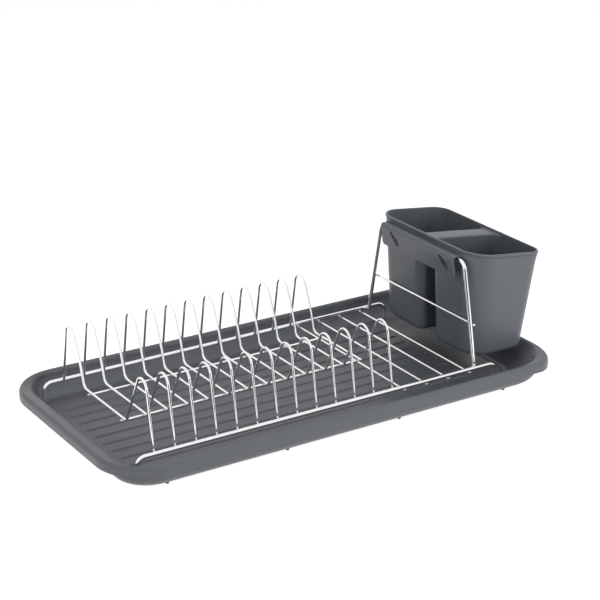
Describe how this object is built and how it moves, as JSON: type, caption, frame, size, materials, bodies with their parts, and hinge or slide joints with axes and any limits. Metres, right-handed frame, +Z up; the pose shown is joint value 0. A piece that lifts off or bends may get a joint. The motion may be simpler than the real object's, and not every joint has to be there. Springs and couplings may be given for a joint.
{
  "type": "dish drainer",
  "caption": "Dish drainer: a moulded drip tray on nub feet, a wire plate rack with cup area and arch, and a twin-bucket cutlery caddy hooked over the arch.",
  "frame": {"origin": "on the table under the middle of the drip tray", "axes": "+X along the tray towards the caddy, +Y from the front rail to the back rail, +Z up"},
  "size_m": [0.5854, 0.2952, 0.161],
  "materials": {
    "tray_plastic": "satin moulded grey",
    "caddy_plastic": "satin moulded slate grey",
    "wire_chrome": "polished chrome plating on steel wire",
    "foot_rubber": "matte rubber"
  },
  "bodies": {
    "tray": {"tray": "tray_plastic", "foot_front_1": "foot_rubber", "foot_front_2": "foot_rubber", "foot_front_3": "foot_rubber", "foot_front_4": "foot_rubber", "foot_back_1": "foot_rubber", "foot_back_2": "foot_rubber", "foot_back_3": "foot_rubber", "foot_back_4": "foot_rubber"},
    "rack": {"front_rail": "wire_chrome", "back_rail": "wire_chrome", "hoop_01": "wire_chrome", "hoop_02": "wire_chrome", "hoop_03": "wire_chrome", "hoop_04": "wire_chrome", "hoop_05": "wire_chrome", "hoop_06": "wire_chrome", "hoop_07": "wire_chrome", "hoop_08": "wire_chrome", "hoop_09": "wire_chrome", "hoop_10": "wire_chrome", "hoop_11": "wire_chrome", "hoop_12": "wire_chrome", "hoop_13": "wire_chrome", "front_floor_wire": "wire_chrome", "back_floor_wire": "wire_chrome", "cross_wire_1": "wire_chrome", "cross_wire_2": "wire_chrome", "cross_wire_3": "wire_chrome", "cross_wire_4": "wire_chrome", "caddy_arch": "wire_chrome", "arch_brace": "wire_chrome"},
    "caddy": {"caddy": "caddy_plastic"}
  },
  "joints": [
    {"name": "rack_lift", "type": "slide", "parent": "tray", "child": "rack", "axis": [0, 0, 1], "range_m": [0, 0.05]},
    {"name": "caddy_lift", "type": "slide", "parent": "rack", "child": "caddy", "axis": [0, 0, 1], "range_m": [0, 0.14]}
  ]
}
